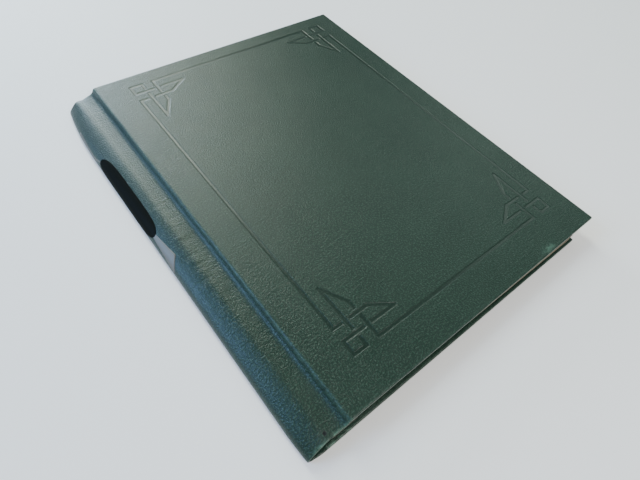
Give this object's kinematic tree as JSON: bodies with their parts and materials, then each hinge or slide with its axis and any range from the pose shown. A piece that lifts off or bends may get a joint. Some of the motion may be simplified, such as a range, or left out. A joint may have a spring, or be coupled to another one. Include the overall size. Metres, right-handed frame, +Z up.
{
  "type": "stamp album",
  "caption": "Closed loose-leaf stamp album with leathercloth boards, a rounded hinged spine, screw-post binding and linen-hinged leaves.",
  "frame": {"origin": "middle of the space the closed album takes up, on the table", "axes": "+X from the spine to the fore-edge, +Y from the tail to the head, +Z up, out of the front cover"},
  "size_m": [0.2488, 0.3016, 0.0156],
  "materials": {
    "leathercloth": "fine-grained dark green leathercloth, satin",
    "board": "greyboard",
    "endpaper": "cream paper, matt",
    "linen": "plain-woven linen tape",
    "label_foil": "silvery foil",
    "label_panel": "glossy black",
    "steel": "brushed",
    "brass": "satin",
    "guard_card": "manila card",
    "leaf_paper": "cream album paper, matt"
  },
  "bodies": {
    "back_cover": {"back_board": "board", "back_cloth": "leathercloth", "back_endpaper": "endpaper", "back_joint_lining": "linen", "binding_plate": "steel", "plate_rivets": "brass", "leaf_guards": "guard_card", "binding_bar": "steel", "binding_posts": "brass", "post_screws": "brass"},
    "spine": {"spine_cloth": "leathercloth", "spine_inlay": "board", "spine_label_foil": "label_foil", "spine_label_panel": "label_panel"},
    "front_joint": {"front_joint_cloth": "leathercloth", "front_joint_lining": "linen"},
    "front_cover": {"front_board": "board", "front_cloth": "leathercloth", "front_endpaper": "endpaper"},
    "title_leaf": {"title_leaf": "leaf_paper", "linen_hinge_01": "linen"},
    "album_leaf_01": {"album_leaf_01": "leaf_paper", "linen_hinge_02": "linen"},
    "album_leaf_02": {"album_leaf_02": "leaf_paper", "linen_hinge_03": "linen"},
    "album_leaf_03": {"album_leaf_03": "leaf_paper", "linen_hinge_04": "linen"},
    "album_leaf_04": {"album_leaf_04": "leaf_paper", "linen_hinge_05": "linen"},
    "album_leaf_05": {"album_leaf_05": "leaf_paper", "linen_hinge_06": "linen"},
    "album_leaf_06": {"album_leaf_06": "leaf_paper", "linen_hinge_07": "linen"},
    "album_leaf_07": {"album_leaf_07": "leaf_paper", "linen_hinge_08": "linen"},
    "album_leaf_08": {"album_leaf_08": "leaf_paper", "linen_hinge_09": "linen"},
    "album_leaf_09": {"album_leaf_09": "leaf_paper", "linen_hinge_10": "linen"},
    "album_leaf_10": {"album_leaf_10": "leaf_paper", "linen_hinge_11": "linen"},
    "end_leaf": {"end_leaf": "leaf_paper", "linen_hinge_12": "linen"}
  },
  "joints": [
    {"name": "spine_hinge", "type": "hinge", "parent": "back_cover", "child": "spine", "pos_m": [-0.1226, 0, 0.0017], "axis": [0, -1, 0], "range_deg": [0, 100]},
    {"name": "ridge_hinge", "type": "hinge", "parent": "spine", "child": "front_joint", "pos_m": [-0.1184, 0, 0.0096], "axis": [0, -1, 0], "range_deg": [0, 60]},
    {"name": "front_joint_hinge", "type": "hinge", "parent": "front_joint", "child": "front_cover", "pos_m": [-0.1006, 0, 0.0139], "axis": [0, -1, 0], "range_deg": [0, 21.2]},
    {"name": "title_leaf_turn", "type": "hinge", "parent": "back_cover", "child": "title_leaf", "pos_m": [-0.092, 0, 0.01155], "axis": [0, -1, 0], "range_deg": [0, 174]},
    {"name": "album_leaf_01_turn", "type": "hinge", "parent": "back_cover", "child": "album_leaf_01", "pos_m": [-0.092, 0, 0.01093], "axis": [0, -1, 0], "range_deg": [0, 160]},
    {"name": "album_leaf_02_turn", "type": "hinge", "parent": "back_cover", "child": "album_leaf_02", "pos_m": [-0.092, 0, 0.01031], "axis": [0, -1, 0], "range_deg": [0, 147]},
    {"name": "album_leaf_03_turn", "type": "hinge", "parent": "back_cover", "child": "album_leaf_03", "pos_m": [-0.092, 0, 0.00969], "axis": [0, -1, 0], "range_deg": [0, 135]},
    {"name": "album_leaf_04_turn", "type": "hinge", "parent": "back_cover", "child": "album_leaf_04", "pos_m": [-0.092, 0, 0.00907], "axis": [0, -1, 0], "range_deg": [0, 124]},
    {"name": "album_leaf_05_turn", "type": "hinge", "parent": "back_cover", "child": "album_leaf_05", "pos_m": [-0.092, 0, 0.00845], "axis": [0, -1, 0], "range_deg": [0, 34]},
    {"name": "album_leaf_06_turn", "type": "hinge", "parent": "back_cover", "child": "album_leaf_06", "pos_m": [-0.092, 0, 0.00783], "axis": [0, -1, 0], "range_deg": [0, 27]},
    {"name": "album_leaf_07_turn", "type": "hinge", "parent": "back_cover", "child": "album_leaf_07", "pos_m": [-0.092, 0, 0.00721], "axis": [0, -1, 0], "range_deg": [0, 21]},
    {"name": "album_leaf_08_turn", "type": "hinge", "parent": "back_cover", "child": "album_leaf_08", "pos_m": [-0.092, 0, 0.00659], "axis": [0, -1, 0], "range_deg": [0, 15]},
    {"name": "album_leaf_09_turn", "type": "hinge", "parent": "back_cover", "child": "album_leaf_09", "pos_m": [-0.092, 0, 0.00597], "axis": [0, -1, 0], "range_deg": [0, 10]},
    {"name": "album_leaf_10_turn", "type": "hinge", "parent": "back_cover", "child": "album_leaf_10", "pos_m": [-0.092, 0, 0.00535], "axis": [0, -1, 0], "range_deg": [0, 6]},
    {"name": "end_leaf_turn", "type": "hinge", "parent": "back_cover", "child": "end_leaf", "pos_m": [-0.092, 0, 0.00473], "axis": [0, -1, 0], "range_deg": [0, 3]}
  ],
  "couplings": [
    {"joint": "ridge_hinge", "follows": "spine_hinge", "ratio": 0.6},
    {"joint": "front_joint_hinge", "follows": "spine_hinge", "ratio": 0.212},
    {"joint": "title_leaf_turn", "follows": "spine_hinge", "ratio": 1.74},
    {"joint": "album_leaf_01_turn", "follows": "spine_hinge", "ratio": 1.6},
    {"joint": "album_leaf_02_turn", "follows": "spine_hinge", "ratio": 1.47},
    {"joint": "album_leaf_03_turn", "follows": "spine_hinge", "ratio": 1.35},
    {"joint": "album_leaf_04_turn", "follows": "spine_hinge", "ratio": 1.24},
    {"joint": "album_leaf_05_turn", "follows": "spine_hinge", "ratio": 0.34},
    {"joint": "album_leaf_06_turn", "follows": "spine_hinge", "ratio": 0.27},
    {"joint": "album_leaf_07_turn", "follows": "spine_hinge", "ratio": 0.21},
    {"joint": "album_leaf_08_turn", "follows": "spine_hinge", "ratio": 0.15},
    {"joint": "album_leaf_09_turn", "follows": "spine_hinge", "ratio": 0.1},
    {"joint": "album_leaf_10_turn", "follows": "spine_hinge", "ratio": 0.06},
    {"joint": "end_leaf_turn", "follows": "spine_hinge", "ratio": 0.03}
  ]
}
